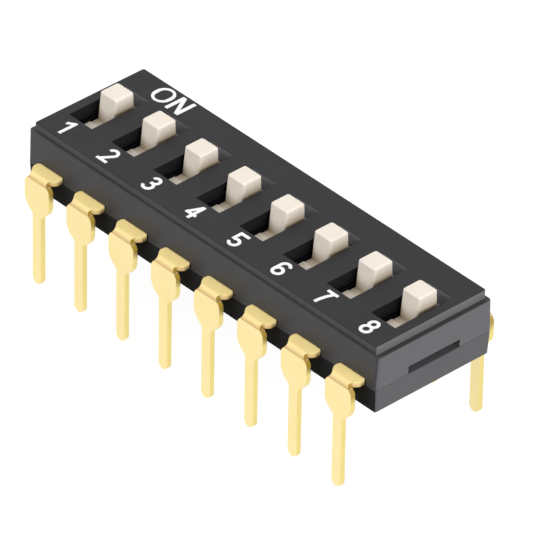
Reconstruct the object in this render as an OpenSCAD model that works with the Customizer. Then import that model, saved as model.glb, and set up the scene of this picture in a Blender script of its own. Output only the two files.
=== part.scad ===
// Eight-way slide DIP switch with raised knobs and two rows of through-hole leads.
// Lengths are millimetres. X runs along the row from switch 1 to switch 8, Y runs from
// the numbered side to the ON side and Z points up. The origin is the middle of the
// flat underside of the base. All eight sliders stand in the ON position.

/* [Switch row] */
// Distance between the centres of neighbouring switches
pitch = 2.54; // [2.4:0.02:3]
// How far a slider moves between off and on
travel = 0.9; // [0.7:0.05:1]

/* [Cover] */
// Raised plate beyond the centre of the last switch
plate_end = 1.16; // [1.14:0.02:1.6]
// Width of the raised plate across the row
plate_w = 5.8; // [5.6:0.05:6.2]
// Corner radius of the raised plate
plate_r = 0.1; // [0.05:0.01:0.3]
// Height of the raised plate above the ledge
step_h = 0.39; // [0.2:0.01:0.6]
// Thickness of the cover over the sliders
roof_t = 0.6; // [0.4:0.05:0.7]
// Width of the ledge along the long sides
side_ledge = 0.1; // [0.05:0.01:0.3]
// Width of the ledge at the two ends
end_ledge = 0.24; // [0.2:0.01:0.5]
// Height of the cover walls from the parting line to the ledge
wall_h = 1.54; // [1.45:0.01:1.8]
// How far the long walls flare outward towards the parting line
side_flare = 0.08; // [0:0.01:0.2]
// How far the end walls lean inward towards the parting line
end_lean = 0.05; // [0:0.01:0.1]
// Corner radius of the walls
wall_r = 0.16; // [0.12:0.01:0.3]
// Thickness of the long walls at the ledge
side_wall_t = 0.28; // [0.2:0.01:0.36]
// Thickness of the end walls at the ledge
end_wall_t = 0.42; // [0.38:0.02:0.46]

/* [Base] */
// Height of the base from its underside to the parting line
base_h = 1.11; // [0.8:0.01:1.4]
// Inward draft of the base sides from the parting line to the underside
base_draft = 0.08; // [0:0.01:0.1]
// Gap between the base's inner block and the cover round it
cover_fit = 0.04; // [0.02:0.01:0.06]
// Gap between the tops of the base ribs and the cover above them
rib_gap = 0.06; // [0.03:0.01:0.1]
// Length along Y of the insulating bar between two terminal pads
bar_l = 0.8; // [0.7:0.02:0.9]
// Diameter of the pegs that hold the terminals
peg_d = 0.36; // [0.3:0.02:0.4]
// Height of the pegs above the terminals
peg_rise = 0.03; // [0:0.01:0.1]

/* [Latch] */
// Width of the window in each end wall
window_w = 2.72; // [2:0.02:3.4]
// Height of the window above the parting line
window_h = 0.39; // [0.2:0.01:0.45]
// Height of the lip between the window and the latch pocket
lip_h = 0.2; // [0.15:0.01:0.3]
// Width of the hook on each end of the base
hook_w = 2.3; // [1.6:0.05:2.6]
// Height of the hook
hook_h = 0.3; // [0.2:0.02:0.35]
// How far the hook stands out of the base
hook_out = 0.12; // [0.08:0.01:0.14]
// Gap all round the hook in its pocket
hook_fit = 0.03; // [0.02:0.01:0.05]

/* [Sliders] */
// Width of a knob at its top
knob_w = 0.95; // [0.8:0.01:1.1]
// Length of a knob at its top
knob_l = 0.92; // [0.7:0.01:1]
// Height of a knob above the raised plate
knob_rise = 0.58; // [0.2:0.02:1]
// Draft of a knob on its two sides and its rear
knob_draft = 0.02; // [0:0.01:0.03]
// Draft of a knob on its front, the numbered side
knob_front_draft = 0.13; // [0:0.01:0.2]
// Radius of a knob's upright edges
knob_r = 0.1; // [0.05:0.01:0.2]
// Size of the bevel round a knob's top
knob_bevel = 0.06; // [0.02:0.01:0.1]
// Gap between a knob and the side of its slot
knob_side_gap = 0.205; // [0.15:0.005:0.3]
// Gap between a knob and the end of its slot at either limit
knob_end_gap = 0.575; // [0.3:0.005:0.6]
// Thickness of the sliding plate under the cover
slider_t = 0.38; // [0.25:0.01:0.45]
// Gap between the sliding plate and the cover above it
slide_gap = 0.06; // [0.03:0.01:0.1]
// Gap between a slider and the base rib at its side
rib_side_gap = 0.07; // [0.04:0.01:0.1]
// Gap between a sliding plate and the cover wall at either limit
slider_end_gap = 0.17; // [0.05:0.01:0.2]
// Depth of the valley in the plate in front of a knob
valley_depth = 0.06; // [0.02:0.01:0.1]
// Distance from a knob's centre to the far end of the valley
valley_l = 1; // [0.8:0.05:1.2]
// Length of the slope at the far end of the valley
valley_slope = 0.06; // [0.02:0.01:0.1]

/* [Bridging contacts] */
// Thickness of the contact leaf
leaf_t = 0.1; // [0.06:0.01:0.12]
// Width of the contact leaf
leaf_w = 0.7; // [0.6:0.02:0.8]
// Length of the leaf's flat middle
leaf_flat = 0.76; // [0.66:0.02:0.9]
// Distance from a leaf's middle to each of its bumps
bump_reach = 0.8; // [0.76:0.02:0.9]
// Radius of a bump along the middle of the leaf
bump_r = 0.15; // [0.1:0.01:0.18]
// Angle at which the leaf runs into a bump and out of it
bump_angle = 30; // [20:1:40]
// Length of the turned-up tip beyond a bump
tip_l = 0.15; // [0.1:0.01:0.2]
// Gap between a bump and the terminal pad below it
touch_gap = 0.03; // [0.01:0.01:0.05]
// Diameter of the stake that holds the leaf to its slider
stake_d = 0.3; // [0.2:0.02:0.36]
// Gap round the stake in the leaf's hole
stake_fit = 0.02; // [0.01:0.01:0.04]
// How far the stake's head reaches past the stake
stake_rim = 0.08; // [0.05:0.01:0.1]
// Thickness of the stake's head
stake_head_t = 0.08; // [0.05:0.01:0.12]

/* [Terminals] */
// Distance over the outer faces of the two rows of leads
row_w = 7.62; // [7.5:0.02:8.2]
// Thickness of the terminal strip
strip_t = 0.25; // [0.2:0.01:0.3]
// Width of the pads inside the switch
pad_w = 0.9; // [0.8:0.02:1]
// Gap between a terminal and the plastic round it
terminal_fit = 0.02; // [0.01:0.01:0.03]
// Distance from the cover's inner wall to the pegs
peg_inset = 0.5; // [0.4:0.05:0.7]
// Width of the strip where it leaves the cover
lobe_w = 1.5; // [1.3:0.02:1.6]
// Corner radius of that wide part
lobe_r = 0.3; // [0.1:0.01:0.32]
// Width of the neck at the bend
neck_w = 1.06; // [0.9:0.02:1.1]
// Length of the flat neck between the wide part and the bend
neck_l = 0.04; // [0.02:0.01:0.2]
// Outer radius of the bend
bend_r = 0.27; // [0.26:0.01:0.4]
// Width of the paddle below the bend
paddle_w = 1.49; // [1.3:0.01:1.7]
// How far the paddle's shoulders rise beside the end of the bend
paddle_rise = 0.03; // [0:0.01:0.1]
// Corner radius of those shoulders
shoulder_r = 0.12; // [0.06:0.01:0.2]
// Height above the underside at which the paddle's sides start to bow inward
bow_start = 0.65; // [0.55:0.01:0.7]
// Radius of the bowed sides
bow_r = 1.27; // [1:0.01:1.6]
// Height above the underside at which the paddle starts to round in to the lead
paddle_waist = 0.27; // [0.2:0.01:0.4]
// Width of a lead
lead_w = 0.5; // [0.4:0.02:0.6]
// Length of a lead below the underside
lead_l = 3.84; // [2.5:0.02:4.5]
// Radius of the hollow where the paddle runs into the lead
lead_fillet = 0.25; // [0.05:0.01:0.3]

/* [Legend] */
// Thickness of the printed ink
ink_t = 0.02; // [0.01:0.01:0.03]
// Height of the numbers
digit_h = 0.98; // [0.8:0.01:1.1]
// Width of a number's strokes
digit_stroke = 0.165; // [0.1:0.005:0.2]
// Gap between the slots and the numbers
digit_gap = 0.215; // [0.1:0.005:0.25]
// Height of the letters
letter_h = 1.06; // [0.9:0.01:1.1]
// Width of the letter O
letter_o_w = 0.96; // [0.8:0.01:1]
// Width of the letter N
letter_n_w = 0.8; // [0.7:0.01:0.9]
// Width of a letter's strokes
letter_stroke = 0.19; // [0.12:0.01:0.22]
// Gap between the two letters
letter_gap = 0.13; // [0.08:0.01:0.3]
// Gap between the slots and the letters
letter_slot_gap = 0.21; // [0.1:0.01:0.25]

/* [Hidden] */
positions = 8;
row_sides = ["front", "back"];
$fn = 48;
cover_colour = "#3b3b3d";
base_colour = "#2f2f31";
ink_colour = "#f4f4f2";
slider_colour = "#f0e5d9";
contact_colour = "#d9c07a";
terminal_colour = "#ecc866";

// Height of the straight lands where a drafted wall starts and ends
land_h = 0.03;
// How far one shape is let into the next before they are joined or cut
bite = 0.05;
// Share of a number's middle height that its lower bowl takes, the rest being its eye
bowl_share = 0.53;
// Width of the N's diagonal across the letter, as a share of its stems
brace_share = 1.15;

// Levels, from the underside up
ledge_z = base_h + wall_h;
top_z = ledge_z + step_h;
roof_z = top_z - roof_t;
rib_z = roof_z - rib_gap;
slider_z = roof_z - slide_gap;
slider_foot_z = slider_z - slider_t;
knob_z = top_z + knob_rise;
strip_z = base_h + strip_t;
lip_z = base_h + window_h + lip_h;

// Half sizes of the cover, its hollow and the base
row_x = pitch * (positions - 1) / 2;
plate_x = row_x + plate_end;
plate_y = plate_w / 2;
shoulder_x = plate_x + end_ledge;
shoulder_y = plate_y + side_ledge;
skirt_x = shoulder_x - end_lean;
skirt_y = shoulder_y + side_flare;
hollow_x = shoulder_x - end_wall_t;
hollow_y = shoulder_y - side_wall_t;
block_x = hollow_x - cover_fit;
block_y = hollow_y - cover_fit;

// Sizes that follow from what fits in what
slot_w = knob_w + 2 * knob_side_gap;
slot_l = knob_l + travel + 2 * knob_end_gap;
slider_w = knob_w + 2 * knob_draft;
slider_l = 2 * (hollow_y - slider_end_gap) - travel;
bay_w = slider_w + 2 * rib_side_gap;
bar_y = bump_reach - travel / 2;
pad_hole_d = peg_d + 2 * terminal_fit;
peg_y = hollow_y - peg_inset;
bend_y = row_w / 2 - bend_r;
bend_z = strip_z - bend_r;
lobe_y = bend_y - neck_l;

function switch_x(k) = pitch * (k - (positions + 1) / 2);

// ---- shared shapes -------------------------------------------------------

// Rectangle about the origin with round corners
module rounded_rect(w, l, r) {
    square([w - 2 * r, l], center = true);
    square([w, l - 2 * r], center = true);
    for (x = [-1, 1], y = [-1, 1])
        translate([x * (w / 2 - r), y * (l / 2 - r)])
            circle(r);
}

// Thin plate that a drafted shape starts or ends with
module land(w, l, r, z) {
    translate([0, 0, z])
        linear_extrude(land_h)
            rounded_rect(w, l, r);
}

// Stretches an outline drawn in (Y, Z) to a width along X, about X = 0
module along_x(w) {
    rotate([90, 0, 90])
        translate([0, 0, -w / 2])
            linear_extrude(w)
                children();
}

// Stretches an outline drawn in (X, Z) to a width along Y, about Y = 0
module along_y(w) {
    rotate([90, 0, 0])
        translate([0, 0, -w / 2])
            linear_extrude(w)
                children();
}

// Box about X = 0 and Y = 0 that stands between two heights
module block(w, l, z0, z1) {
    translate([-w / 2, -l / 2, z0])
        cube([w, l, z1 - z0]);
}

// Straight stroke from one point to another
module stroke(from, to, t) {
    step = to - from;
    translate(from)
        rotate(atan2(step[1], step[0]))
            translate([0, -t / 2])
                square([norm(step), t]);
}

// Curved stroke of middle radius r, from angle a0 up to a1
module curve(centre, r, a0, a1, t) {
    slices = 8;
    reach = 2 * r;
    translate(centre)
        intersection() {
            ring(r, t);
            polygon(concat(
                [[0, 0]],
                [for (i = [0:slices])
                    let (a = a0 + (a1 - a0) * i / slices)
                    reach * [cos(a), sin(a)]]
            ));
        }
}

// Closed round stroke of middle radius r
module ring(r, t) {
    difference() {
        circle(r + t / 2);
        circle(r - t / 2);
    }
}

// ---- cover ---------------------------------------------------------------

module cover() {
    color(cover_colour)
        difference() {
            union() {
                cover_walls();
                cover_plate();
            }
            block(2 * hollow_x, 2 * hollow_y, base_h - bite, roof_z);
            for (k = [1:positions])
                translate([switch_x(k), 0, 0]) {
                    block(slot_w, slot_l, roof_z - bite, top_z + bite);
                    terminal_doorways();
                }
            for (end = [-1, 1])
                latch_cuts(end);
        }
}

// Four walls: the long ones flare outward and the end ones lean inward
module cover_walls() {
    hull() {
        land(2 * skirt_x, 2 * skirt_y, wall_r, base_h);
        land(2 * shoulder_x, 2 * shoulder_y, wall_r, ledge_z - land_h);
    }
}

module cover_plate() {
    translate([0, 0, ledge_z - bite])
        linear_extrude(step_h + bite)
            rounded_rect(2 * plate_x, 2 * plate_y, plate_r);
}

// Notch in both long walls for one pair of terminals
module terminal_doorways() {
    doorway_z = strip_z + terminal_fit;
    difference() {
        block(lobe_w + 2 * terminal_fit, 2 * (skirt_y + bite), base_h - bite, doorway_z);
        block(lobe_w, 2 * (hollow_y - bite), base_h - bite, doorway_z);
    }
}

// Window through one end wall and the pocket over its lip
module latch_cuts(end) {
    window_l = end_wall_t + 2 * bite;
    pocket_l = hook_out + cover_fit + hook_fit + bite;
    translate([end * (hollow_x - bite + window_l / 2), 0, 0])
        block(window_l, window_w, base_h - bite, base_h + window_h);
    translate([end * (hollow_x - bite + pocket_l / 2 - cover_fit), 0, 0])
        block(pocket_l, hook_w + 2 * hook_fit, lip_z, lip_z + hook_h + 2 * hook_fit);
}

// ---- base ----------------------------------------------------------------

module base() {
    color(base_colour)
        union() {
            base_foot();
            difference() {
                block(2 * block_x, 2 * block_y, base_h - bite, rib_z);
                for (k = [1:positions])
                    translate([switch_x(k), 0, 0])
                        block(bay_w, 2 * (block_y + bite), base_h, rib_z + bite);
            }
            for (k = [1:positions])
                translate([switch_x(k), 0, 0])
                    bay_floor();
            for (end = [0, 180])
                rotate(end)
                    latch_hook();
        }
}

// Drafted foot with round corners
module base_foot() {
    foot_x = skirt_x - base_draft;
    foot_y = skirt_y - base_draft;
    along_x(2 * (skirt_x - wall_r))
        polygon([[-foot_y, 0], [foot_y, 0], [skirt_y, base_h], [-skirt_y, base_h]]);
    along_y(2 * (skirt_y - wall_r))
        polygon([[-foot_x, 0], [foot_x, 0], [skirt_x, base_h], [-skirt_x, base_h]]);
    for (x = [-1, 1], y = [-1, 1])
        translate([x * (skirt_x - wall_r), y * (skirt_y - wall_r), 0])
            cylinder(h = base_h, r1 = wall_r - base_draft, r2 = wall_r);
}

// Insulating bar and the two pegs of one switch
module bay_floor() {
    translate([0, bar_y, 0])
        block(bay_w, bar_l - 2 * terminal_fit, base_h - bite, strip_z);
    for (side = [-1, 1])
        translate([0, side * peg_y, base_h - bite])
            cylinder(h = strip_t + peg_rise + bite, d = peg_d);
}

// Hook at the +X end, with a slope on top that lets the cover ride over it
module latch_hook() {
    hook_z = lip_z + hook_fit;
    along_y(hook_w)
        polygon([
            [block_x - bite, hook_z],
            [block_x + hook_out, hook_z],
            [block_x + hook_out, hook_z + hook_out],
            [block_x, hook_z + hook_h],
            [block_x - bite, hook_z + hook_h]
        ]);
}

// ---- sliders and their contacts ------------------------------------------

module slider(k) {
    color(slider_colour)
        translate([switch_x(k), travel / 2, 0]) {
            slider_plate();
            knob();
            translate([0, 0, slider_foot_z - leaf_t - bite])
                cylinder(h = leaf_t + 2 * bite, d = stake_d);
            translate([0, 0, slider_foot_z - leaf_t - stake_head_t])
                cylinder(h = stake_head_t, d = stake_d + 2 * stake_rim);
        }
}

// Plate that keeps the slot shut, with a shallow valley in front of the knob
module slider_plate() {
    end_y = slider_l / 2;
    valley_z = slider_z - valley_depth;
    along_x(slider_w)
        polygon([
            [-end_y, slider_foot_z],
            [end_y, slider_foot_z],
            [end_y, slider_z],
            [0, slider_z],
            [0, valley_z],
            [-valley_l + valley_slope, valley_z],
            [-valley_l, slider_z],
            [-end_y, slider_z]
        ]);
}

module knob() {
    foot_l = knob_l + knob_draft + knob_front_draft;
    hull() {
        translate([0, (knob_draft - knob_front_draft) / 2, 0])
            land(slider_w, foot_l, knob_r, slider_z - valley_depth - bite);
        land(knob_w, knob_l, knob_r, knob_z - knob_bevel - land_h);
        land(knob_w - 2 * knob_bevel, knob_l - 2 * knob_bevel, knob_r, knob_z - land_h);
    }
}

// Leaf spring under a slider that bridges the two terminal pads
module contact(k) {
    color(contact_colour)
        translate([switch_x(k), travel / 2, 0])
            difference() {
                along_x(leaf_w)
                    leaf_outline();
                translate([0, 0, slider_foot_z - leaf_t - bite])
                    cylinder(h = leaf_t + 2 * bite, d = stake_d + 2 * stake_fit);
            }
}

// Side view of the leaf: flat middle, two sloping arms and two bumps
module leaf_outline() {
    flat_z = slider_foot_z - leaf_t / 2;
    bump_z = strip_z + touch_gap + leaf_t / 2 + bump_r;
    lift = bump_r * [cos(bump_angle), -sin(bump_angle)];
    tip = tip_l * [sin(bump_angle), cos(bump_angle)];
    translate([-leaf_flat / 2, flat_z - leaf_t / 2])
        square([leaf_flat, leaf_t]);
    for (way = [0, 1])
        mirror([way, 0]) {
            knee = [leaf_flat / 2, flat_z];
            heel = [bump_reach, bump_z];
            stroke(knee, [heel[0] - lift[0], heel[1] + lift[1]], leaf_t);
            curve(heel, bump_r, 180 + bump_angle, 360 - bump_angle, leaf_t);
            stroke(heel + lift, heel + lift + tip, leaf_t);
            for (p = [knee, [heel[0] - lift[0], heel[1] + lift[1]], heel + lift])
                translate(p)
                    circle(d = leaf_t);
        }
}

// ---- terminals -----------------------------------------------------------

// One blanked and bent terminal; side is -1 for the front row and 1 for the back row
module terminal(k, side) {
    pad_start = bar_l / 2 + side * bar_y;
    color(terminal_colour)
        translate([switch_x(k), 0, 0])
            mirror([0, side < 0 ? 1 : 0, 0]) {
                translate([0, 0, base_h])
                    linear_extrude(strip_t)
                        terminal_flat(pad_start);
                terminal_bend();
                translate([0, row_w / 2 - strip_t / 2, 0])
                    along_y(strip_t)
                        lead_outline();
            }
}

// Flat part, seen from above: pad with its peg hole, wide part and neck
module terminal_flat(pad_start) {
    difference() {
        union() {
            translate([-pad_w / 2, pad_start])
                square([pad_w, hollow_y + lobe_r - pad_start]);
            translate([0, (hollow_y + lobe_y) / 2])
                rounded_rect(lobe_w, lobe_y - hollow_y, lobe_r);
            translate([-neck_w / 2, lobe_y - lobe_r])
                square([neck_w, bend_y - lobe_y + lobe_r]);
        }
        translate([0, peg_y])
            circle(d = pad_hole_d);
    }
}

// Quarter turn that carries the neck down into the lead
module terminal_bend() {
    translate([-neck_w / 2, bend_y, bend_z])
        rotate([90, 0, 90])
            rotate_extrude(angle = 90)
                translate([bend_r - strip_t, 0])
                    square([strip_t, neck_w]);
}

// Paddle and lead, seen from the front
module lead_outline() {
    paddle_head();
    translate([0, paddle_waist])
        circle(d = paddle_w);
    lead_shank();
    for (way = [0, 1])
        mirror([way, 0])
            shank_fillet();
}

// Straight sides, then sides that bow inward to two rounded shoulders
module paddle_head() {
    half = paddle_w / 2;
    bow_x = half - bow_r;
    top = bend_z + paddle_rise;
    corner = [
        bow_x + sqrt(pow(bow_r - shoulder_r, 2) - pow(top - shoulder_r - bow_start, 2)),
        top - shoulder_r
    ];
    touch = bow_start + (corner[1] - bow_start) * bow_r / (bow_r - shoulder_r);
    translate([-half, paddle_waist])
        square([paddle_w, bow_start - paddle_waist]);
    intersection() {
        translate([-half, bow_start - bite])
            square([paddle_w, touch - bow_start + bite]);
        translate([bow_x, bow_start])
            circle(bow_r);
        translate([-bow_x, bow_start])
            circle(bow_r);
    }
    translate([-corner[0], bow_start])
        square([2 * corner[0], top - bow_start]);
    for (way = [-1, 1])
        translate([way * corner[0], corner[1]])
            circle(shoulder_r);
}

// Narrow lead with a round tip
module lead_shank() {
    tip_r = lead_w / 2;
    translate([-tip_r, tip_r - lead_l])
        square([lead_w, lead_l - tip_r]);
    translate([0, tip_r - lead_l])
        circle(tip_r);
}

// Hollow corner between the paddle's round end and the lead, on the +X side
module shank_fillet() {
    reach = paddle_w / 2 + lead_fillet;
    x = lead_w / 2 + lead_fillet;
    drop = sqrt(pow(reach, 2) - pow(x, 2));
    share = (reach - lead_fillet) / reach;
    difference() {
        polygon([
            [0, paddle_waist - share * drop],
            [share * x, paddle_waist - share * drop],
            [x, paddle_waist - drop],
            [0, paddle_waist - drop]
        ]);
        translate([x, paddle_waist - drop])
            circle(lead_fillet);
    }
}

// ---- legend --------------------------------------------------------------

// White print on the raised plate: ON at the back, the numbers at the front
module legend() {
    digit_y = -slot_l / 2 - digit_gap - digit_h / 2;
    letter_y = slot_l / 2 + letter_slot_gap + letter_h / 2;
    word_w = letter_o_w + letter_gap + letter_n_w;
    word_x = (switch_x(1) + switch_x(2)) / 2 - word_w / 2;
    color(ink_colour)
        translate([0, 0, top_z])
            linear_extrude(ink_t) {
                for (k = [1:positions])
                    translate([switch_x(k), digit_y])
                        digit(k);
                translate([word_x + letter_o_w / 2, letter_y])
                    letter_o();
                translate([word_x + word_w - letter_n_w / 2, letter_y])
                    letter_n();
            }
}

// One number about the origin, built from a lower bowl and a smaller upper eye.
// A curved stroke stops the angle droop short of level, the foot of a 2 and the shoulder
// of a 5 leave their curves at the angle slope, and the stem of a 7 turns by the angle sweep.
module digit(n) {
    t = digit_stroke;
    droop = 15;
    slope = 35;
    sweep = 30;
    lap = 10;
    top = digit_h / 2 - t / 2;
    bowl = bowl_share * top;
    eye = top - bowl;
    side = bowl + t / 2;
    bowl_c = [0, bowl - top];
    eye_c = [0, top - eye];
    intersection() {
        square([2 * side, digit_h], center = true);
        union() {
            if (n == 1) {
                stroke([t / 4, -digit_h / 2], [t / 4, digit_h / 2], t);
                stroke([-side, eye], [t / 4, top], t);
            }
            if (n == 2) {
                from = [bowl * cos(slope), top - bowl - bowl * sin(slope)];
                run = (from[1] + top) / cos(slope);
                curve([0, top - bowl], bowl, -slope - lap, 180 - lap, t);
                stroke(from, from - run * [sin(slope), cos(slope)], t);
                stroke([-side, -top], [side, -top], t);
            }
            if (n == 3) {
                curve(bowl_c, bowl, droop - 180, 90, t);
                curve(eye_c, eye, -90, 180 - droop, t);
                stroke([-eye / 2, eye_c[1] - eye], [0, eye_c[1] - eye], t);
            }
            if (n == 4) {
                stem = side / 3;
                rung = bowl_c[1];
                stroke([stem, -digit_h / 2], [stem, digit_h / 2], t);
                stroke([-side, rung], [side, rung], t);
                stroke([-bowl, rung], [stem, top + t / 2], t);
            }
            if (n == 5) {
                stroke([-bowl, top], [side - t / 4, top], t);
                stroke([-bowl, digit_h / 2], [-bowl, -t / 2], t);
                curve(bowl_c, bowl, droop - 180, 180 - slope, t);
            }
            if (n == 6) {
                translate(bowl_c)
                    ring(bowl, t);
                stroke([-bowl, -bowl_c[1]], bowl_c - [bowl, 0], t);
                curve(-bowl_c, bowl, droop, 180, t);
            }
            if (n == 7) {
                sweep_r = 2 * digit_h;
                foot = [-bowl / 2, -digit_h / 2];
                stroke([-side, top], [side, top], t);
                curve(foot + [sweep_r, 0], sweep_r, 180 - sweep, 180, t);
            }
            if (n == 8) {
                translate(bowl_c)
                    ring(bowl, t);
                translate(eye_c)
                    ring(eye, t);
            }
        }
    }
}

module letter_o() {
    straight = letter_h - letter_o_w;
    hole_w = letter_o_w - 2 * letter_stroke;
    difference() {
        stadium(letter_o_w, straight);
        stadium(hole_w, straight + letter_stroke / 2);
    }
}

// Two half circles of diameter w joined by straight sides
module stadium(w, straight) {
    square([w, straight], center = true);
    for (way = [-1, 1])
        translate([0, way * straight / 2])
            circle(d = w);
}

module letter_n() {
    t = letter_stroke;
    x = letter_n_w / 2;
    y = letter_h / 2;
    brace = brace_share * t;
    drop = 2 * y * t / (2 * x - brace);
    polygon([
        [-x, -y],
        [-x, y],
        [brace - x, y],
        [x - t, drop - y],
        [x - t, y],
        [x, y],
        [x, -y],
        [x - brace, -y],
        [t - x, y - drop],
        [t - x, -y]
    ]);
}

// ---- output --------------------------------------------------------------

cover();
base();
legend();
for (k = [1:positions]) {
    slider(k);
    contact(k);
    terminal(k, -1);
    terminal(k, 1);
}
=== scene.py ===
# %% [markdown]
# # An eight-way DIP switch with raised knobs
# A DIP switch is a row of tiny slide switches in a case that plugs into a circuit board.
# This one is 20.6 mm long. It has a two-part moulded case, eight ivory sliders, white
# print, and two rows of gold-plated leads that are blanked from strip and bent down.
#
# The measured CAD model comes first, as a fixed frame. Every piece below either takes a
# better surface or stands for the CAD solid of the same name, in the same place.

# %% The frame
import math

import bmesh
import bpy
from mathutils import Matrix, Vector


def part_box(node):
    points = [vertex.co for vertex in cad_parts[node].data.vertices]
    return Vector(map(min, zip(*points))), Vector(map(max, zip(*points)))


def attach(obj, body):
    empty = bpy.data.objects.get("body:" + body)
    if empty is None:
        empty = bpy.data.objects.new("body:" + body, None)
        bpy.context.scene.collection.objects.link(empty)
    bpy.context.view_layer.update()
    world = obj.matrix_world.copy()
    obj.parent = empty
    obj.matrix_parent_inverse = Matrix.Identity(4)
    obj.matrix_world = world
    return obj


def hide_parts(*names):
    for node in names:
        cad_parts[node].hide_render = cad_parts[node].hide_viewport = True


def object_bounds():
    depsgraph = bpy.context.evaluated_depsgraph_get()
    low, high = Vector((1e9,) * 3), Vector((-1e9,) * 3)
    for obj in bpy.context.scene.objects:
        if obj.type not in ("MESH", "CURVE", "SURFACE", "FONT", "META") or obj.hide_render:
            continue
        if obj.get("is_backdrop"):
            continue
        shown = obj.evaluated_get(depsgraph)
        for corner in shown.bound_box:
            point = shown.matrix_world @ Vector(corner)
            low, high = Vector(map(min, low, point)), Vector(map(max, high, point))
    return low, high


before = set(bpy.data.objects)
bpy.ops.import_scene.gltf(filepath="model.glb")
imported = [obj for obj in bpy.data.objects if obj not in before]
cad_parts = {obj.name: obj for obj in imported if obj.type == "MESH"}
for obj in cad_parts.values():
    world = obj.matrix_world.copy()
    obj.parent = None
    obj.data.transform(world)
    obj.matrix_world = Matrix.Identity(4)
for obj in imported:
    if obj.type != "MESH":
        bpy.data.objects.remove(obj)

cad_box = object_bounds()

# %% [markdown]
# ## Units and colours
# Blender works in metres, but a part this small is easier to think about in millimetres,
# so meshes are built in millimetres and scaled once at the end. Colours are written as
# the usual sRGB hex values. Blender's shaders work in linear light, so one function
# converts them.

# %% Units and colours
MM = 0.001
SWITCHES = range(1, 9)
PITCH = 2.54
ROW_MIDDLE = 4.5  # halfway between switches 4 and 5


def linear(hex_colour):
    """Linear RGBA of an sRGB colour such as #3a3a3c."""
    channels = [int(hex_colour[i:i + 2], 16) / 255 for i in (1, 3, 5)]
    return [c / 12.92 if c <= 0.04045 else ((c + 0.055) / 1.055) ** 2.4 for c in channels] + [1]


def switch_x(k):
    """Middle of switch k along the row, in millimetres."""
    return PITCH * (k - ROW_MIDDLE)


print("switch 1 is at", switch_x(1), "mm and switch 8 at", switch_x(8), "mm")

# %% [markdown]
# ## Building materials from nodes
# A material could be clicked together in the shader editor, but a script can be read and
# changed later. One small function fills a node's sockets, either with a value or with a
# link from another node's output, and one adds a node that way. Sockets go by name, or by
# number where a node has several of the same name.

# %% Node helpers
def fill(node, sockets):
    """Gives each socket of a node its value, or a link from another node's output."""
    for name, value in sockets.items():
        if isinstance(value, bpy.types.NodeSocket):
            node.id_data.links.new(value, node.inputs[name])
        else:
            node.inputs[name].default_value = value


def add(material, kind, sockets=None, **settings):
    """Adds a node to a material or world, with its settings, socket values and links."""
    node = material.node_tree.nodes.new(kind)
    for name, value in settings.items():
        setattr(node, name, value)
    fill(node, sockets or {})
    return node


def new_material(name):
    """An empty node material and its Principled shader."""
    material = bpy.data.materials.new(name)
    material.use_nodes = True
    return material, material.node_tree.nodes["Principled BSDF"]


def per_mm(size):
    """Noise scale, in cycles per metre, for features of a size in millimetres."""
    return 1 / (size * MM)


print("a grain of 0.1 mm has the noise scale", round(per_mm(0.1)))

# %% [markdown]
# A few combinations of nodes come back in nearly every material here: a mix of two
# colours, a change of range, a noise with features of a given size, a colour that drifts
# between two tones in soft clouds, and a satin whose gloss and relief follow one noise.
# Each gets a function, so that a finish reads like a recipe.

# %% Mixes, ranges and clouds
NOISE_LOW, NOISE_HIGH = 0.3, 0.7  # a noise seldom leaves this range


def blend(material, factor, start, end):
    """The output of a mix from one colour, at factor 0, to another, at 1."""
    sockets = {0: factor, 6: start, 7: end}
    return add(material, "ShaderNodeMix", sockets, data_type="RGBA").outputs[2]


def remap(material, value, start, end, low=0.0, high=1.0):
    """The output of a map that goes from low to high as the value goes from start to end."""
    return add(material, "ShaderNodeMapRange", {
        "Value": value, "From Min": start, "From Max": end,
        "To Min": low, "To Max": high}).outputs["Result"]


def noise(material, place, size, detail):
    """The output of a noise with features of a size in millimetres."""
    return add(material, "ShaderNodeTexNoise", {
        "Vector": place, "Scale": per_mm(size), "Detail": detail}).outputs["Fac"]


def clouded(material, place, size, detail, dark, light):
    """A colour that drifts between two tones in clouds of a size in millimetres."""
    clouds = remap(material, noise(material, place, size, detail), NOISE_LOW, NOISE_HIGH)
    return blend(material, clouds, linear(dark), linear(light))


def satin(material, shader, texture, roughness, swing, strength, depth):
    """Lets one noise drive the gloss, by a swing to both sides, and a relief, to a depth in mm."""
    bump = add(material, "ShaderNodeBump", {
        "Height": texture, "Strength": strength, "Distance": depth * MM})
    fill(shader, {
        "Roughness": remap(material, texture, 0, 1, roughness - swing, roughness + swing),
        "Normal": bump.outputs["Normal"]})


print("clouds take the noise from", NOISE_LOW, "to", NOISE_HIGH)

# %% [markdown]
# ## Moulded plastic
# Plastic parts like these come out of a steel tool, whose faces are often spark-eroded to
# a fine satin. Three things give that look here: faint clouds as a melt leaves them, a fine
# grain in the height of the surface, and a gloss that changes with the grain. A picture of
# real plastic could be wrapped round each part, but a noise in the part's own space needs
# no unwrapping and never shows a seam. The recipe can also paint shade into the colour:
# where other surfaces are near, it sinks to a darker tone.

# %% Moulded plastic
GRAIN = 0.09  # in mm, meant to be coarser than on a real part, so that it shows
FLOW = 1.6  # size of the clouds in mm
GAP_HOLD = 1.6  # above 1 the open tone gives way sooner as a gap closes


def gap_shade(material, tone, deep, reach):
    """Paints shade: turns a tone to a deeper one where other surfaces are within reach, in mm."""
    open_sky = add(material, "ShaderNodeAmbientOcclusion", {"Distance": reach * MM})
    hold = add(material, "ShaderNodeMath", {
        0: open_sky.outputs["AO"], 1: GAP_HOLD}, operation="POWER")
    return blend(material, hold.outputs[0], linear(deep), tone)


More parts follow.
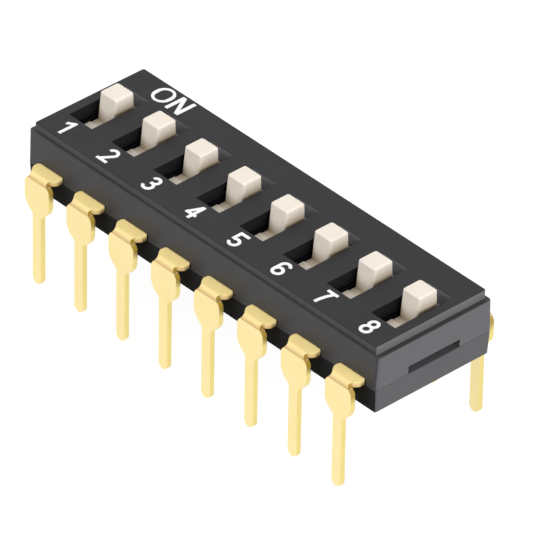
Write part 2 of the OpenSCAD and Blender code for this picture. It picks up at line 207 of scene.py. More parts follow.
def moulded_plastic(name, dark, light, roughness, specular, grain_depth=0.012, gap=None):
    """Satin plastic in two close tones; gap is a painted shade's tone and how far it reaches in
    mm.
    """
    material, shader = new_material(name)
    place = add(material, "ShaderNodeTexCoord").outputs["Object"]
    tone = clouded(material, place, FLOW, 3, dark, light)
    if gap:
        tone = gap_shade(material, tone, *gap)
    satin(material, shader, noise(material, place, GRAIN, 2), roughness,
          swing=0.05, strength=0.25, depth=grain_depth)
    fill(shader, {"Base Color": tone, "Specular IOR Level": specular})
    return material


print("grain", GRAIN, "mm, clouds", FLOW, "mm")

# %% [markdown]
# ## Black plastic
# The cover and the base are black plastic, on such parts usually glass-filled PBT. The eye
# sees a dark grey rather than a black, because the grain scatters a soft reflection of the
# white room over it. One material would be the natural choice, but a few wide lamps stand
# in for a whole studio here, and under them one material comes out too even. So each kind
# of face has a tone and a gloss of its own, which paint light and shade, and these were
# tuned until the case looked right: a dark, matt plate and nearly black slot sides, a dark
# foot and a ledge that is darker across the ends than along the sides, as painted shade,
# and paler ends, slot ends and sills, as painted light. They are no facts about the
# plastic: in an even light the ends come out clearly paler than the long walls, by about
# 25 levels of 255. The same goes for the painted shade in narrow gaps, which is in the
# material and stays in any light.

# %% Black plastics
# Paler tones paint light: the ends, slot ends and sills. Darker ones paint shade: the plate, slot
# sides, end ledges and foot.
BLACK = {  # face: dark tone, light tone, roughness, specular level
    "printed_plate": ("#232325", "#272729", 0.50, 0.25),
    "long_walls": ("#2c2c30", "#303034", 0.45, 0.46),
    "end_walls": ("#5a5a5d", "#5e5e61", 0.45, 0.50),
    "ledge": ("#444446", "#48484a", 0.50, 0.30),
    "end_ledges": ("#38383a", "#3c3c3e", 0.50, 0.30),
    "plate_ends": ("#676769", "#6b6b6d", 0.45, 0.50),
    "slot_sides": ("#1a1a1c", "#1d1d20", 0.40, 0.10),
    "slot_ends": ("#717175", "#77777b", 0.50, 0.30),
    "base_walls": ("#202125", "#242529", 0.65, 0.08),
    "base_ends": ("#4d4d50", "#515154", 0.45, 0.50),
    "window_sills": ("#58585b", "#5c5c5f", 0.50, 0.30),
}
# Painted shade: near the cover and the leads the foot sinks to black.
GAPS = {"base_walls": ("#040405", 0.9)}  # the foot sinks to black near the cover and the leads
black = {face: moulded_plastic(f"black_pbt_{face}", *recipe, gap=GAPS.get(face))
         for face, recipe in BLACK.items()}
print("black plastics:", ", ".join(black))

# %% [markdown]
# ## Ivory plastic
# The sliders are a warm ivory plastic, most likely acetal, which is slippery and needs no
# grease. It lets a little light in, which softens its shaded sides, so the shader has a
# small share of subsurface scattering with a reach of a fraction of a millimetre. Where a
# knob goes down into its slot, a painted shade turns it to a warm brown. The rear of the
# plate, under the cover, takes a grey painted shade. The plate's front end lies open to
# the light and gets no painted shade.

# %% Ivory plastic
IVORY = ("#eee3d6", "#f1e8dc", 0.5, 0.3, 0.006)  # as above, and the grain's depth in mm
# The gap tones are painted shade: warm brown by the slot, grey under the cover.
IVORY_GAPS = {  # material: the tone in its gaps and how far it reaches in mm
    "ivory_acetal": ("#9a8562", 0.55),
    "ivory_acetal_under_cover": ("#4a4a4c", 0.7),
    "ivory_acetal_open": None,
}
ivory = [moulded_plastic(name, *IVORY, gap=gap) for name, gap in IVORY_GAPS.items()]
for plastic in ivory:
    fill(plastic.node_tree.nodes["Principled BSDF"], {
        "Subsurface Weight": 0.12, "Subsurface Radius": (1.0, 0.8, 0.6),
        "Subsurface Scale": 0.2 * MM})
print("slider plastics:", ", ".join(plastic.name for plastic in ivory))

# %% [markdown]
# ## White ink
# The numbers and the word ON are most likely pad-printed, which means that a silicone pad
# laid a film of white ink on the plate. The film is matt and a little uneven, so the
# plastic's recipe serves for it with paler tones and a shallower grain.

# %% White ink
white_ink = moulded_plastic("white_pad_print", "#f4f4f2", "#ffffff", 0.6, 0.3, grain_depth=0.004)
print("ink:", white_ink.name)

# %% [markdown]
# ## Gold plate
# The leads look like gold, on such parts usually a thin flash over nickel on copper alloy
# strip. A metal has no colour of its own but tints what it reflects, so the gold's colour
# is its reflection of white. The plating follows the rolled strip under it: a satin with
# faint lines along its length. They could be modelled as scratches, but a noise that is
# stretched along the lead gives the same look for nothing.
#
# The gold does not look the same all over, and these tones paint light and shade into it.
# The lobe beside the case is pale and matt, as painted light. The bend is warmer and ends
# in a crease, as painted shade. The punched edges are shinier than the rolled faces, but up
# beside the case they are deeper and duller, as a painted reflection of the black case. A
# face takes the rolled or the punched metal, and within each of them a small function
# shifts the tone by height, and makes the shader less of a metal where the gold is dull.
# These shifts were tuned as well, and they stay the same in any light.

# %% Gold plate
ROLL_LINE = 0.06  # in mm, meant to be wider than on real strip, so that the lines show
LINE_STRETCH = 14
PATCHES = 0.9  # size in mm of the patches in which the tone drifts
# Painted tones by height: the pale, matt lobe is painted light, the warm band down to the crease
# painted shade, and the deep, dull cut edges beside the case a painted reflection of it.
STRIP_TOP, CREASE, CREASE_SOFT = 1.36, 1.14, 0.04  # heights in mm of the bend and its crease
BESIDE_CASE, CLEAR_OF_CASE = 0.85, 0.45  # heights in mm between which the cut edges clear up
LOBE_TONE, BEND_TONE, UPPER_EDGE_TONE = "#ffe69d", "#d8b67c", "#b4973f"


def by_bend(material, height, tone, metallic):
    """Rolled face: pale, matt painted light on the lobe, warm painted shade to the crease, then
    plain.
    """
    turned = remap(material, height, STRIP_TOP * MM, CREASE * MM)
    above = remap(material, height, (CREASE - CREASE_SOFT) * MM, CREASE * MM)
    bent = add(material, "ShaderNodeMath", {0: turned, 1: above}, operation="MULTIPLY").outputs[0]
    tone = blend(material, turned, linear(LOBE_TONE), tone)
    tone = blend(material, bent, tone, linear(BEND_TONE))
    return tone, remap(material, turned, 0, 1, 0, metallic)


def by_case(material, height, tone, metallic):
    """Cut edge: deep and dull beside the case, a painted reflection of it, plain where clear of
    it.
    """
    clear = remap(material, height, BESIDE_CASE * MM, CLEAR_OF_CASE * MM)
    tone = blend(material, clear, linear(UPPER_EDGE_TONE), tone)
    return tone, remap(material, clear, 0, 1, 0, metallic)


print("crease at", CREASE, "mm, cut edges plain below", CLEAR_OF_CASE, "mm")

# %% [markdown]
# One recipe makes all three metals. The rolled faces and the punched edges each get it with
# their own shift by height, and the contacts inside the case get it without one.

# %% Plated metals
def plated_metal(name, colour, other, roughness, metallic, shift=None):
    """Satin plating in two close tones, lined along Z; shift changes tone and gloss by height."""
    material, shader = new_material(name)
    place = add(material, "ShaderNodeTexCoord").outputs["Object"]
    tone = clouded(material, place, PATCHES, 2, other, colour)
    if shift:
        height = add(material, "ShaderNodeSeparateXYZ", {"Vector": place}).outputs["Z"]
        tone, metallic = shift(material, height, tone, metallic)
    along = add(material, "ShaderNodeMapping", {
        "Vector": place, "Scale": (1, 1, 1 / LINE_STRETCH)})
    lines = noise(material, along.outputs["Vector"], ROLL_LINE, 2)
    satin(material, shader, lines, roughness, swing=0.04, strength=0.12, depth=0.006)
    fill(shader, {"Base Color": tone, "Metallic": metallic})
    return material


gold_plate = plated_metal("gold_plated_strip", "#ffedb0", "#ffeaaa", 0.45, 0.9, by_bend)
cut_gold = plated_metal("gold_plated_cut_edge", "#f3de8f", "#efda89", 0.25, 1.0, by_case)
contact_metal = plated_metal("gold_plated_spring", "#f2d894", "#e8c97c", 0.3, 1.0)
print("metals:", gold_plate.name, cut_gold.name, contact_metal.name)

# %% [markdown]
# ## From CAD solid to finished piece
# A moulded part never has a perfectly sharp edge: the tool leaves a radius of a few
# hundredths of a millimetre, and that thin radius catches the light as a fine line. The
# CAD solids are right but sharp. Each is copied, its split corners are welded and its
# flat faces made whole, and only its outward edges are rounded. Modelling each case
# again by hand would only risk a second, different shape.

# %% Welding and rounding
WELD = 0.001  # corners closer than this, in mm, are one corner
SAME_PLANE = math.radians(0.5)  # faces that meet at less than this are made one
SHARP = math.radians(35)  # edges that turn by more than this are rounded
ROUND_SEGMENTS = 2


def solid_of(node):
    """A welded copy of a CAD solid in millimetres, with whole flat faces."""
    mesh = bmesh.new()
    mesh.from_mesh(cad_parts[node].data)
    mesh.transform(Matrix.Scale(1 / MM, 4))
    bmesh.ops.remove_doubles(mesh, verts=mesh.verts, dist=WELD)
    bmesh.ops.dissolve_limit(mesh, angle_limit=SAME_PLANE, verts=mesh.verts, edges=mesh.edges)
    return mesh


def round_edges(mesh, radius, keep):
    """Rounds the sharp outward edges for which keep(edge) is true, and returns how many."""
    sharp = [e for e in mesh.edges if len(e.link_faces) == 2 and e.is_convex
             and e.calc_face_angle() > SHARP and keep(e)]
    bmesh.ops.bevel(mesh, geom=sharp, offset=radius, offset_type="OFFSET", segments=ROUND_SEGMENTS,
                    profile=0.5, affect="EDGES", clamp_overlap=False)
    bmesh.ops.remove_doubles(mesh, verts=mesh.verts, dist=WELD)
    bmesh.ops.dissolve_degenerate(mesh, edges=mesh.edges, dist=WELD)
    return len(sharp)


print("edges sharper than", round(math.degrees(SHARP)), "degrees get", ROUND_SEGMENTS, "segments")

# %% [markdown]
# A rounded edge shades well only if the flat faces beside it stay flat. Blender would
# spread the turn of the narrow radius over the whole wide face and make it look swollen.
# The normals are therefore set by hand: at each corner every face counts by the area of
# its whole flat region, so the wide faces win and the narrow radius turns to meet them.

# %% Shading normals
FLAT = 0.01  # radians between faces of one flat region
CREASE_ANGLE = math.radians(50)  # faces that meet at more than this keep a hard edge


def flat_areas(mesh):
    """For each face, the area of the whole flat region that it belongs to."""
    area, seen = {}, set()
    for start in mesh.faces:
        if start in seen:
            continue
        region, queue = [], [start]
        seen.add(start)
        while queue:
            face = queue.pop()
            region.append(face)
            for edge in face.edges:
                for other in edge.link_faces:
                    if other not in seen and face.normal.angle(other.normal, math.pi) < FLAT:
                        seen.add(other)
                        queue.append(other)
        total = sum(face.calc_area() for face in region)
        area.update((face, total) for face in region)
    return area


def corner_normals(mesh):
    """Shading normals in which large flat regions stay flat and small ones turn to meet them."""
    area = flat_areas(mesh)
    normals = []
    for face in mesh.faces:
        for vert in face.verts:
            turn = Vector((0, 0, 0))
            for other in vert.link_faces:
                if face.normal.angle(other.normal, math.pi) < CREASE_ANGLE:
                    turn += other.normal * area[other]
            normals.append(turn.normalized())
    return normals


print("hard edges from", round(math.degrees(CREASE_ANGLE)), "degrees")

# %% [markdown]
# Every piece ends the same way, so one function does it. The mesh goes from millimetres to
# metres and takes its normals and materials. The piece is then put on the body that it
# rides on, and the CAD solid that it stands for is hidden.

# %% Finishing a piece
def finish_piece(name, mesh, materials, body, node):
    """Turns a millimetre mesh into a shaded piece that rides on a body for a CAD node."""
    bmesh.ops.recalc_face_normals(mesh, faces=mesh.faces)
    mesh.normal_update()
    normals = corner_normals(mesh)
    mesh.transform(Matrix.Scale(MM, 4))
    data = bpy.data.meshes.new(name)
    mesh.to_mesh(data)
    mesh.free()
    data.shade_smooth()
    data.normals_split_custom_set(normals)
    for material in materials:
        data.materials.append(material)
    piece = bpy.data.objects.new(name, data)
    bpy.context.scene.collection.objects.link(piece)
    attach(piece, body)
    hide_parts(node)


print("pieces are scaled by", MM, "once they are done")

# %% [markdown]
# ## Case
# The cover is a five-sided box with eight slots, a raised plate and a ledge round it. The
# base closes it from below. The two meet in a parting line: with both edges rounded, the
# line becomes the fine groove that it is on the real case. The tone of each face, a painted
# light or shade, is picked by the way the face looks and by where it lies, which saves
# painting faces by hand. The ledge is one large face round the plate, so it is first cut
# across near both ends.
# Positions are in millimetres from the middle of the base's underside.

# %% The cover
HOLLOW_Y, ROOF_Z, LEDGE_Z = 2.72, 2.44, 2.65  # half the hollow's width, its roof, the ledge
PLATE_TOP_Z = 2.95  # faces that lie higher than this are the plate's top and its rim
NEAR, LEDGE_ROOM = 0.02, 0.05  # room for rounding when positions are compared
SLOTS_X, SLOTS_Y = 10, 1.6  # all slots lie within these distances of the middle
END_LEDGE_X = 10.0  # the ledge beyond this is on the case's ends
FACING = 0.7  # a normal with more than this along an axis faces that way
EDGE = 0.03  # radius of the case's outward edges
COVER_FACES = [
    "long_walls", "end_walls", "ledge", "end_ledges", "slot_sides", "slot_ends", "plate_ends",
    "printed_plate", "window_sills"]


def on_the_outside(edge):
    """True for an edge of the cover that shows from outside."""
    return not all(v.co.z < ROOF_Z + NEAR and abs(v.co.y) < HOLLOW_Y + NEAR for v in edge.verts)


def cover_painted_tone(face):
    """Name of the tone, a painted light or shade, of one face of the cover."""
    middle, way = face.calc_center_median(), face.normal
    in_slot = abs(middle.x) < SLOTS_X and abs(middle.y) < SLOTS_Y
    if abs(way.x) > FACING:
        return "slot_sides" if in_slot else "plate_ends" if middle.z > LEDGE_Z else "end_walls"
    if abs(way.y) > FACING and abs(middle.y) < SLOTS_Y:
        return "slot_ends" if in_slot else "window_sills"
    if way.z > FACING and abs(middle.z - LEDGE_Z) < LEDGE_ROOM:
        return "end_ledges" if abs(middle.x) > END_LEDGE_X else "ledge"
    return "printed_plate" if middle.z > PLATE_TOP_Z else "long_walls"


def split_ledge(mesh, x):
    """Cuts the ledge across at an X, so that its end can take another painted tone."""
    ring = [f for f in mesh.faces if cover_painted_tone(f) == "ledge"]
    around = {e for f in ring for e in f.edges} | {v for f in ring for v in f.verts}
    bmesh.ops.bisect_plane(
        mesh, geom=ring + list(around), plane_co=(x, 0, 0), plane_no=(1, 0, 0))


cover = solid_of("cover")
print("cover edges rounded:", round_edges(cover, EDGE, on_the_outside))
for x in (-END_LEDGE_X, END_LEDGE_X):
    split_ledge(cover, x)
for face in cover.faces:
    face.material_index = COVER_FACES.index(cover_painted_tone(face))
finish_piece("case_cover", cover, [black[f] for f in COVER_FACES],
             "case", "cover")

# %% [markdown]
# The base takes the same treatment. Its ribs, bars and pegs are hidden in the case, so
# only the edges of its foot are rounded. Its tones paint light and shade: paler ends and
# sills that show through the windows, and dark long sides.

# %% The base
FOOT_TOP = 1.12
BASE_END_X = 9.5  # faces of the base beyond this are its ends
BASE_FACES = ["base_walls", "base_ends", "window_sills"]


def on_the_foot(edge):
    """True for an edge of the base's foot, which is all that shows of the base."""
    return (max(v.co.z for v in edge.verts) < FOOT_TOP
            and max(abs(v.co.y) for v in edge.verts) > HOLLOW_Y)


def base_painted_tone(face):
    """Name of the tone, a painted light or shade, of one face of the base."""
    middle = face.calc_center_median()
    if face.normal.z > FACING and middle.z < FOOT_TOP:
        return "window_sills"
    on_the_end = abs(face.normal.x) > FACING and abs(middle.x) > BASE_END_X
    return "base_ends" if on_the_end else "base_walls"


base = solid_of("base")
print("base edges rounded:", round_edges(base, EDGE, on_the_foot))
for face in base.faces:
    face.material_index = BASE_FACES.index(base_painted_tone(face))
finish_piece("case_base", base, [black[f] for f in BASE_FACES], "case", "base")

# %% [markdown]
# ## Sliders
# Each slider is one ivory moulding: a plate that runs under the cover and keeps the slot
# shut, and a knob that stands up through it. Its edges are rounded by 0.02 mm. The knobs
# of the CAD model proved a little too slim, so their walls are moved out by as much here.

# %% The eight sliders
KNOB_EDGE = 0.02
VALLEY_TOP, PLATE_TOP = 2.39, 2.5
KNOB_REACH_X, KNOB_REACH_Y, KNOB_FLOOR = 0.52, 0.70, 2.3  # the knob lies within and above these
REST_Y, FULLER = 0.45, 1.04  # middle of a knob at rest, and its growth about that middle
STAKE_TOP = 2.0


def above_the_stake(edge):
    """True for an edge of the plate or the knob, not of the stake under them."""
    return min(v.co.z for v in edge.verts) > STAKE_TOP


def fill_out_knob(mesh, middle_x):
    """Moves the knob's walls out from its middle, 0.02 mm a side."""
    for vert in mesh.verts:
        out_x, out_y = vert.co.x - middle_x, vert.co.y - REST_Y
        if vert.co.z > KNOB_FLOOR and abs(out_x) < KNOB_REACH_X and abs(out_y) < KNOB_REACH_Y:
            vert.co.x, vert.co.y = middle_x + FULLER * out_x, REST_Y + FULLER * out_y


def slider_painted_shade(face):
    """Ivory: 0 knob and plate, brown painted shade; 1 rear, grey painted shade; 2 toe, none."""
    middle = face.calc_center_median()
    if face.normal.z < FACING or middle.z > PLATE_TOP:
        return 0
    if middle.y > 0:
        return 1
    return 2 if middle.z > VALLEY_TOP else 0


for k in SWITCHES:
    slider = solid_of(f"slider_{k}")
    fill_out_knob(slider, switch_x(k))
    count = round_edges(slider, KNOB_EDGE, above_the_stake)
    for face in slider.faces:
        face.material_index = slider_painted_shade(face)
    finish_piece(f"ivory_slider_{k}", slider, ivory,
                 f"switch_{k}", f"slider_{k}")
print("edges rounded on each slider:", count)

# %% [markdown]
# ## Terminals
# A terminal is blanked from 0.25 mm strip and bent down over a die. It could be a flat
# outline that is thickened, but then the bend would need a second shape to meet it.
# Here it is made as the press makes it: a list of stations along the strip, each with a
# place, a direction and a half-width, and one rounded cross-section swept through them.
# The strip narrows to a neck, turns down and widens again into the paddle, which rests
# on the board, before it runs out into the lead.

# %% The strip's path
STRIP_Z, STRIP_T, ROW_Y = 1.36, 0.25, 3.81
BEND_R = 0.27
BEND_Y, BEND_Z = ROW_Y - BEND_R, STRIP_Z - BEND_R
BEND_L = BEND_R * math.pi / 2
TIP_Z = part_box("terminal_front_1")[0].z / MM


def path(along):
    """Y, Z and outward direction of the strip's outer face, a length along from its start."""
    if along < BEND_Y:
        return along, STRIP_Z, 0, 1
    if along > BEND_Y + BEND_L:
        return ROW_Y, BEND_Z - (along - BEND_Y - BEND_L), 1, 0
    angle = (along - BEND_Y) / BEND_R
    out, up = math.sin(angle), math.cos(angle)
    return BEND_Y + BEND_R * out, BEND_Z + BEND_R * up, out, up


STRIP_L = BEND_Y + BEND_L + BEND_Z - TIP_Z
print("strip from the middle of the switch to the tip:", round(STRIP_L, 2), "mm")

# %% [markdown]
# The blank's outline gives the half-width at each length along the strip. A pad with the
# peg hole comes first, then a wider lobe with round corners. The strip is drawn in to a
# smooth neck where it bends, and a narrow strip is easier to bend. Below it a round paddle
# rests on the board, and a fillet leads into the straight lead with its round tip. The
# smooth neck and a lead 0.03 mm wider than in the CAD model are late corrections.

# %% The blank's outline
PAD_HALF, LOBE_HALF, NECK_HALF, LEAD_HALF = 0.45, 0.75, 0.50, 0.265
LOBE_START, LOBE_R = 3.00, 0.15
NECK_START, NECK_END = 3.28, 4.20
LEAD_R = 0.25
PADDLE_Z = 0.27
TIP_HALF = 0.02  # half-width left at the very tip
WAIST = BEND_Y + BEND_L + BEND_Z - PADDLE_Z  # length along the strip to the paddle's middle
FILLET_DROP = math.sqrt((LOBE_HALF + LEAD_R) ** 2 - (LEAD_HALF + LEAD_R) ** 2)


def half_width(along):
    """Half-width of the blank at a length along the strip."""
    if along < LOBE_START:
        return PAD_HALF
    if along < LOBE_START + LOBE_R:
        corner = math.sqrt(LOBE_R ** 2 - (LOBE_START + LOBE_R - along) ** 2)
        return LOBE_HALF - LOBE_R + corner
    if NECK_START < along < NECK_END:
        turn = 2 * math.pi * (along - NECK_START) / (NECK_END - NECK_START)
        return LOBE_HALF - (LOBE_HALF - NECK_HALF) * (1 - math.cos(turn)) / 2
    below = along - WAIST
    if below < 0:
        return LOBE_HALF
    if below < FILLET_DROP * LOBE_HALF / (LOBE_HALF + LEAD_R):
        return math.sqrt(LOBE_HALF ** 2 - below ** 2)
    if below < FILLET_DROP:
        return LEAD_HALF + LEAD_R - math.sqrt(LEAD_R ** 2 - (FILLET_DROP - below) ** 2)
    tip = max(along - (STRIP_L - LEAD_HALF), 0)
    return math.sqrt(max(LEAD_HALF ** 2 - tip ** 2, TIP_HALF ** 2))


print("neck", 2 * NECK_HALF, "mm, paddle", 2 * LOBE_HALF, "mm, lead", 2 * LEAD_HALF, "mm wide")

# %% [markdown]
# A swept strip is only as smooth as its stations are close. They could be spaced evenly,
# but the straight parts would then use up most of them. So each run has a count of its
# own: many stations where the path or the outline curves, and none between the ends of a
# run that is straight.

# %% Stations along the strip
PAD_START = {"front": 0.05, "back": 0.75}  # where each row's strip starts inside the case
LOBE_STEPS, NECK_STEPS, BEND_STEPS, FILLET_STEPS, TIP_STEPS = 8, 8, 14, 28, 10
SHOULDER, BEFORE_BEND, AFTER_BEND = 0.001, 0.01, 0.02  # gaps between the runs of stations


def steps(start, end, count):
    """Values from start to end, both included."""
    return [start + (end - start) * i / count for i in range(count + 1)]


def stations(pad_start):
    """Lengths at which the strip gets a cross-section, close together where it curves."""
    tip = [STRIP_L - LEAD_HALF * (1 - math.sin(turn))
           for turn in steps(0, math.pi / 2, TIP_STEPS)]
    bend_end = BEND_Y + BEND_L
    return ([pad_start, LOBE_START - SHOULDER]
            + steps(LOBE_START, LOBE_START + LOBE_R, LOBE_STEPS)
            + steps(NECK_START, BEND_Y - BEFORE_BEND, NECK_STEPS)
            + steps(BEND_Y, bend_end, BEND_STEPS)
            + steps(bend_end + AFTER_BEND, NECK_END, NECK_STEPS)
            + steps(WAIST, WAIST + FILLET_DROP, FILLET_STEPS) + tip)


for row, start in PAD_START.items():
    print("stations along a", row, "terminal:", len(stations(start)))

# %% [markdown]
# The cross-section is a rectangle with rounded corners, so that the edges catch the light.
# It is laid across the path at each station, as wide as the blank is there, and faces join
# each ring to the next. A curve with a bevel would do, if the strip had one width.

# %% One terminal
STRIP_EDGE = 0.035
CORNER_STEPS = 2
EDGE_SHARE = 0.9  # the most that the edge's radius takes of a narrow tip


def strip_mesh(side, pad_start):
    """One terminal about X = 0, swept through its stations; side is -1 for the front row."""
    mesh = bmesh.new()
    rings = []
    for along in stations(pad_start):
        y, z, out, up = path(along)
        half = half_width(along)
        edge = min(STRIP_EDGE, half * EDGE_SHARE)
        ring = []
        for x_way, t_way in ((1, 1), (1, -1), (-1, -1), (-1, 1)):
            for turn in steps(0, math.pi / 2, CORNER_STEPS):
                if x_way * t_way > 0:
                    turn = math.pi / 2 - turn
                x = x_way * (half - edge + edge * math.cos(turn))
                t = t_way * (STRIP_T / 2 - edge + edge * math.sin(turn)) - STRIP_T / 2
                ring.append(mesh.verts.new((x, side * (y + out * t), z + up * t)))
        rings.append(ring)
    for a, b in zip(rings, rings[1:]):
        for i in range(len(a)):
            j = (i + 1) % len(a)
            mesh.faces.new((a[i], a[j], b[j], b[i]))
    mesh.faces.new(rings[0])
    mesh.faces.new(rings[-1])
    bmesh.ops.recalc_face_normals(mesh, faces=mesh.faces)
    return mesh


print("a cross-section has", 4 * (CORNER_STEPS + 1), "corners")

# %% [markdown]
# A peg of the base holds each terminal by a hole in its pad. The hole is punched with a
# Boolean, as the press does it. It is hidden in the case, but a solid strip would overlap
# the peg. The edges that the punch cut then get their own metal.

# %% Both rows of terminals
PEG_Y, PEG_HOLE_R, PUNCH_SIDES = 2.22, 0.2, 32


def with_peg_hole(mesh, side):
    """Cuts the hole for the base's peg through the pad, and frees the mesh it was given."""
    blank = bpy.data.meshes.new("blank")
    mesh.to_mesh(blank)
    mesh.free()
    part = bpy.data.objects.new("blank", blank)
    bpy.context.scene.collection.objects.link(part)
    bpy.ops.mesh.primitive_cylinder_add(
        radius=PEG_HOLE_R, depth=1, vertices=PUNCH_SIDES, location=(0, side * PEG_Y, STRIP_Z))
    punch = bpy.context.object
    cut = part.modifiers.new("punch", "BOOLEAN")
    cut.object = punch
    cut.solver = "EXACT"
    bpy.context.view_layer.update()
    result = bmesh.new()
    result.from_object(part, bpy.context.evaluated_depsgraph_get())
    bpy.data.objects.remove(part)
    bpy.data.objects.remove(punch)
    return result


def is_cut_edge(face):
    """Whether a face is on the punched sides, from the bend down."""
    centre = face.calc_center_median()
    return abs(face.normal.x) > FACING and (centre.z < CREASE or abs(centre.y) > BEND_Y)


for side, row in ((-1, "front"), (1, "back")):
    for k in SWITCHES:
        strip = with_peg_hole(strip_mesh(side, PAD_START[row]), side)
        strip.transform(Matrix.Translation((switch_x(k), 0, 0)))
        strip.normal_update()
        for face in strip.faces:
            face.material_index = int(is_cut_edge(face))
        finish_piece(f"{row}_lead_{k}", strip, [gold_plate, cut_gold],
                     "case", f"terminal_{row}_{k}")
    low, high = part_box(f"terminal_{row}_8")
    print(row, "terminals stand between", [round(v / MM, 2) for v in (*low, *high)])

# %% [markdown]
# ## Print
# The strokes of the CAD print look a little bolder than they should, perhaps because a
# pad-printed film thins out along its outline. So the print is drawn in all round. Scaling
# it would move the glyphs, so each corner moves along the directions of the walls that
# meet in it, far enough for both walls to move in by the same amount.

# %% The print
INK_MARGIN = 0.012
ONE_WAY = 0.01  # radians within which two walls count as one


def inward(vert):
    """Move that takes a corner of the print in from all its upright walls alike."""
    ways = []
    for face in vert.link_faces:
        flat = Vector((face.normal.x, face.normal.y, 0))
        if flat.length > FACING and all(flat.angle(way) > ONE_WAY for way in ways):
            ways.append(flat.normalized())
    if not ways:
        return Vector((0, 0, 0))
    if len(ways) == 1:
        return -INK_MARGIN * ways[0]
    return -INK_MARGIN * (ways[0] + ways[1]) / (1 + ways[0].dot(ways[1]))


legend = bmesh.new()
legend.from_mesh(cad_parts["legend"].data)
legend.transform(Matrix.Scale(1 / MM, 4))
bmesh.ops.remove_doubles(legend, verts=legend.verts, dist=WELD)
legend.normal_update()
moves = [(vert, inward(vert)) for vert in legend.verts]
for vert, move in moves:
    vert.co += move
longest = max(move.length for vert, move in moves)
print("print drawn in by", INK_MARGIN, "mm, longest move", round(longest, 3))
finish_piece("white_print", legend, [white_ink], "case", "legend")

# %% [markdown]
# ## Contacts
# The contact leaves are hidden in the case and have the right shape already, so the CAD
# nodes stay and only take their material.

# %% Materials on the CAD nodes that stay
for k in SWITCHES:
    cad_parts[f"contact_{k}"].data.materials[0] = contact_metal
print("contacts in", contact_metal.name + ":", len(SWITCHES))

# %% [markdown]
# ## Floor
# The switch stands on its leads on a plain white floor. A floor that is only painted
# white comes out grey wherever the lamps are soft, and turning them up would burn out the
# ivory knobs. So the floor's paint is a dark grey, which throws little light back up and
# takes only a breath of shadow, and a glow lifts it to white for the camera and for gloss.

# %% The floor
FLOOR_SIZE, FLOOR_GAP = 3, 0.002  # metres, millimetres
FLOOR_PAINT, FLOOR_GLOW = 0.17, 0.92


def seen_directly(owner):
    """Is 1 for camera, glossy and transmission rays and 0 for light that is scattered."""
    rays = add(owner, "ShaderNodeLightPath").outputs
    mirror = add(owner, "ShaderNodeMath", {
        0: rays["Is Glossy Ray"], 1: rays["Is Transmission Ray"]}, operation="MAXIMUM")
    return add(owner, "ShaderNodeMath", {
        0: rays["Is Camera Ray"], 1: mirror.outputs[0]}, operation="MAXIMUM").outputs[0]


floor_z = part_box("terminal_front_1")[0].z - FLOOR_GAP * MM
bpy.ops.mesh.primitive_plane_add(size=FLOOR_SIZE, location=(0, 0, floor_z))
floor = bpy.context.object
floor.name = "floor"
floor_white, shader = new_material("studio_floor")
glow = add(floor_white, "ShaderNodeMath", {
    0: seen_directly(floor_white), 1: FLOOR_GLOW}, operation="MULTIPLY")
fill(shader, {
    "Base Color": (FLOOR_PAINT, FLOOR_PAINT, FLOOR_PAINT, 1), "Roughness": 1.0,
    "Specular IOR Level": 0.0, "Emission Color": (1, 1, 1, 1),
    "Emission Strength": glow.outputs[0]})
floor.data.materials.append(floor_white)
floor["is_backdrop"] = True
print("floor at", round(floor_z / MM, 3), "mm")

# %% [markdown]
# ## Light
# A small product is lit in a white tent: a soft dome all round and large lamps behind
# cloth. The key lamp stands low at the right end, which gives the end walls and the
# knobs' sides their light. One hangs high over the front left for the tops, a weak one
# below it fills the fronts, and one behind keeps the far side readable. Suns with a wide
# angle act as such lamps and stay even over the whole part, where area lamps would fall
# off. Black plastic and gold show little but what they mirror, so the tent is white for
# gloss as well. The lamps are hidden from gloss, or each bend in the gold would burn out.

# %% World and lamps
DOME = 0.34  # what the dome gives to light that is scattered
LAMP_SPREAD = math.radians(50)

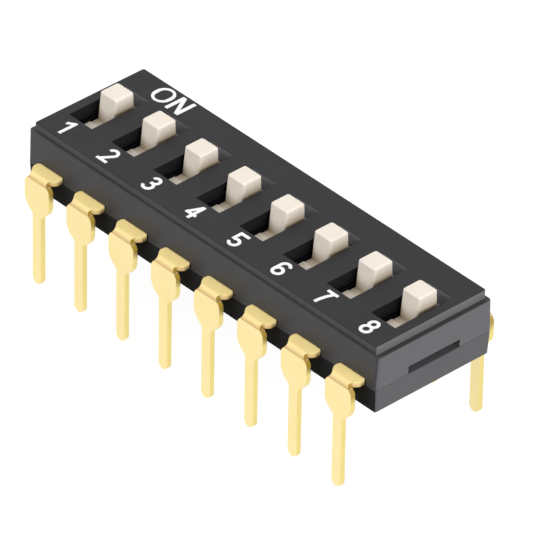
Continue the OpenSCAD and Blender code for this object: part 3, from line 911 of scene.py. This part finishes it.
world = bpy.data.worlds.new("studio")
bpy.context.scene.world = world
world.use_nodes = True
fill(world.node_tree.nodes["Background"], {
    "Color": (1, 1, 1, 1), "Strength": remap(world, seen_directly(world), 0, 1, DOME, 1)})


def sun(name, toward, level):
    """A wide sun; at level 1 a white sheet that faces it renders white."""
    data = bpy.data.lights.new(name, "SUN")
    data.energy = level * math.pi
    data.angle = LAMP_SPREAD
    lamp = bpy.data.objects.new(name, data)
    lamp.rotation_mode = "QUATERNION"
    lamp.rotation_quaternion = Vector(toward).to_track_quat("Z", "Y")
    lamp.visible_glossy = False
    bpy.context.scene.collection.objects.link(lamp)


sun("key", (0.80, -0.10, 0.30), 0.78)
sun("over", (-0.40, -0.45, 0.80), 0.38)
sun("side", (-0.40, -0.70, 0.35), 0.17)
sun("back", (-0.15, 0.95, 0.20), 0.30)

# %% [markdown]
# ## Camera
# The view is from the front right and above, with a long lens from a third of a metre
# away, so that the far end looks hardly smaller than the near one. The camera could be
# aimed with a constraint, but three unit vectors for its right, its up and its back say
# the same without one.

# %% The camera
RIGHT = (0.6707645353, 0.7415310951, 0.0143726553)
UP = (-0.4419050962, 0.3840192641, 0.8107090050)
BACK = (0.5956465597, -0.5501461986, 0.5852728731)
PLACE = (0.20147627835, -0.18508645982, 0.19712659696)  # metres
LENS, SENSOR = 558.147, 36  # millimetres
CLIP = (0.01, 10)  # metres

camera_data = bpy.data.cameras.new("camera")
camera_data.lens, camera_data.sensor_width = LENS, SENSOR
camera_data.clip_start, camera_data.clip_end = CLIP
camera = bpy.data.objects.new("camera", camera_data)
bpy.context.scene.collection.objects.link(camera)
camera.matrix_world = Matrix.Translation(PLACE) @ Matrix((RIGHT, UP, BACK)).transposed().to_4x4()
bpy.context.scene.camera = camera
bpy.context.scene.view_settings.view_transform = "Standard"
print("camera", round(Vector(PLACE).length, 3), "m away")

# %% [markdown]
# The boxes of the dressed model and of the CAD model that the frame and the motion come
# from are both printed.

# %% The end
new_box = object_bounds()
for name, box in (("CAD", cad_box), ("visual", new_box)):
    print(name, "box in mm:", [round(v / MM, 3) for corner in box for v in corner])
